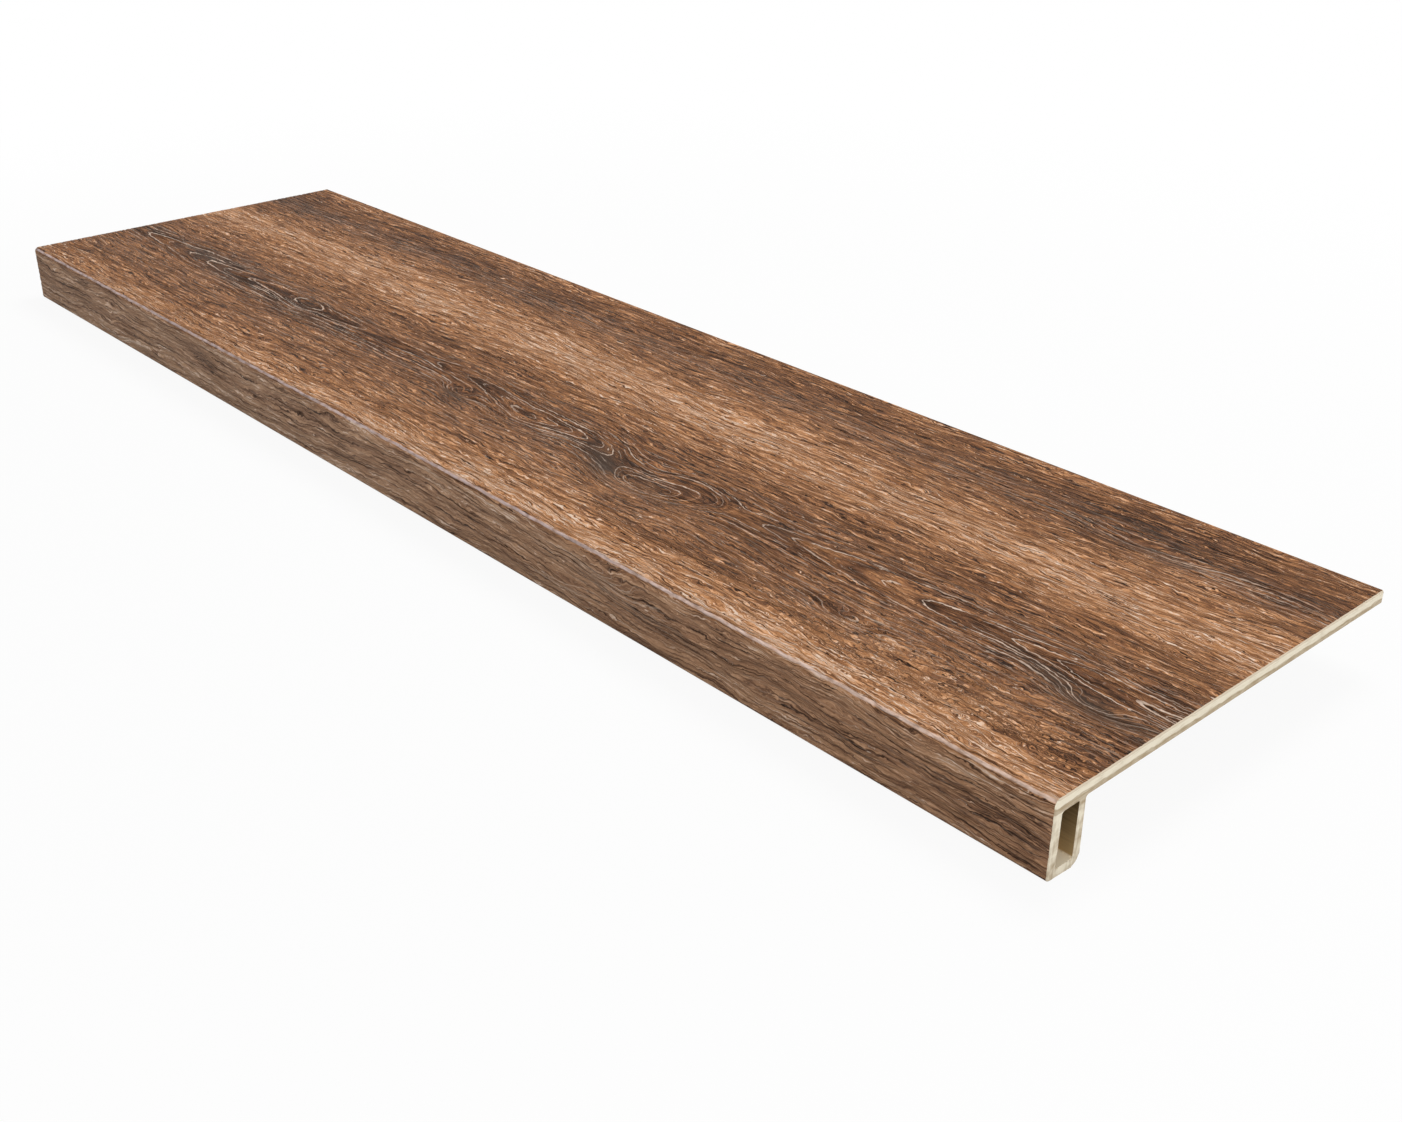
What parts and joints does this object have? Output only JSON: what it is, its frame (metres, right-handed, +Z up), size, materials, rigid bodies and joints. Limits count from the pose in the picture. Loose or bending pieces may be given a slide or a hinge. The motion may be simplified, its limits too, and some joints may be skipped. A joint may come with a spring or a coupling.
{
  "type": "stair tread",
  "caption": "Long flat fired-porcelain stair tread with a wood-look glazed face and a hollow square box nosing along its front edge.",
  "frame": {"origin": "middle of the footprint, level with the underside of the nosing", "axes": "+X along the tread, +Y from the nosing at the front to the back edge, +Z up out of the walked-on face"},
  "size_m": [1.2, 0.32, 0.05],
  "materials": {
    "wood_look_porcelain": "satin"
  },
  "bodies": {
    "root": {"stair_tread": "wood_look_porcelain"}
  },
  "joints": []
}
